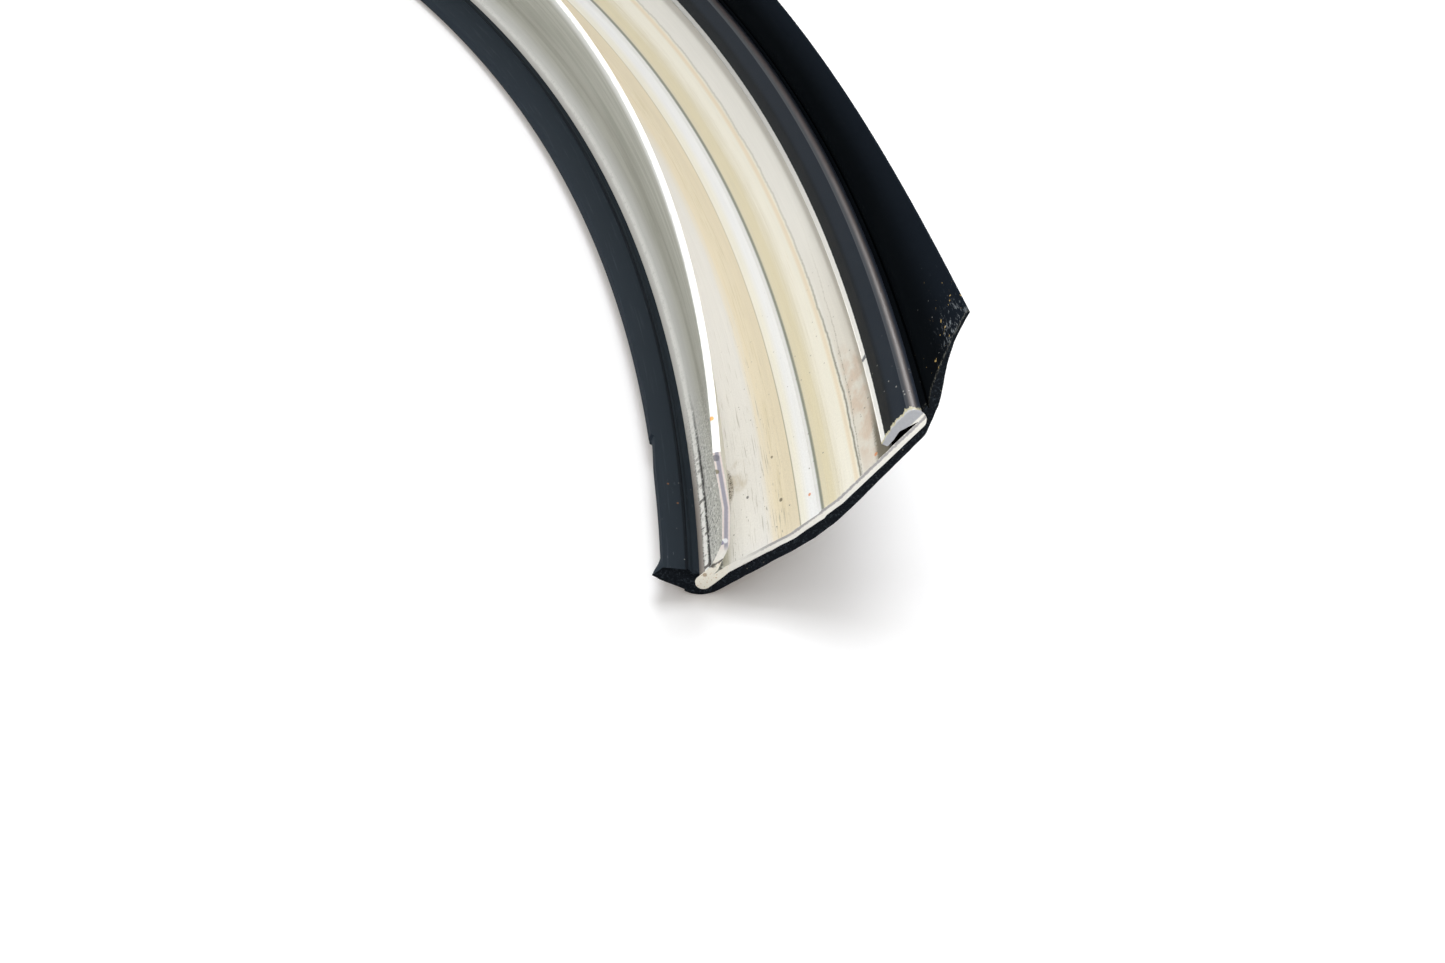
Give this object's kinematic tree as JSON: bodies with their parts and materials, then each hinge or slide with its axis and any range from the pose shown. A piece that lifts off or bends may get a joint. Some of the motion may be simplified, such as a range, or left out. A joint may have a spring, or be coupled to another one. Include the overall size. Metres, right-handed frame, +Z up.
{
  "type": "window trim",
  "caption": "Curved rear window trim: a roll-formed metal channel with a tall flange and a folded hem, in a rubber cover with a sealing lip along each edge.",
  "frame": {"origin": "middle of the bounding box in plan, on the floor that the rounded foot of the cover rests on", "axes": "+Z up, +X along the chord between the two cut ends, +Y towards the convex side, which meets the body"},
  "size_m": [0.4308, 0.0823, 0.026],
  "materials": {
    "metal_channel": "old cream lacquer over bare grey metal, worn and scratched",
    "rubber_cover": "satin black"
  },
  "bodies": {
    "root": {"metal_channel": "metal_channel", "rubber_cover": "rubber_cover"}
  },
  "joints": []
}
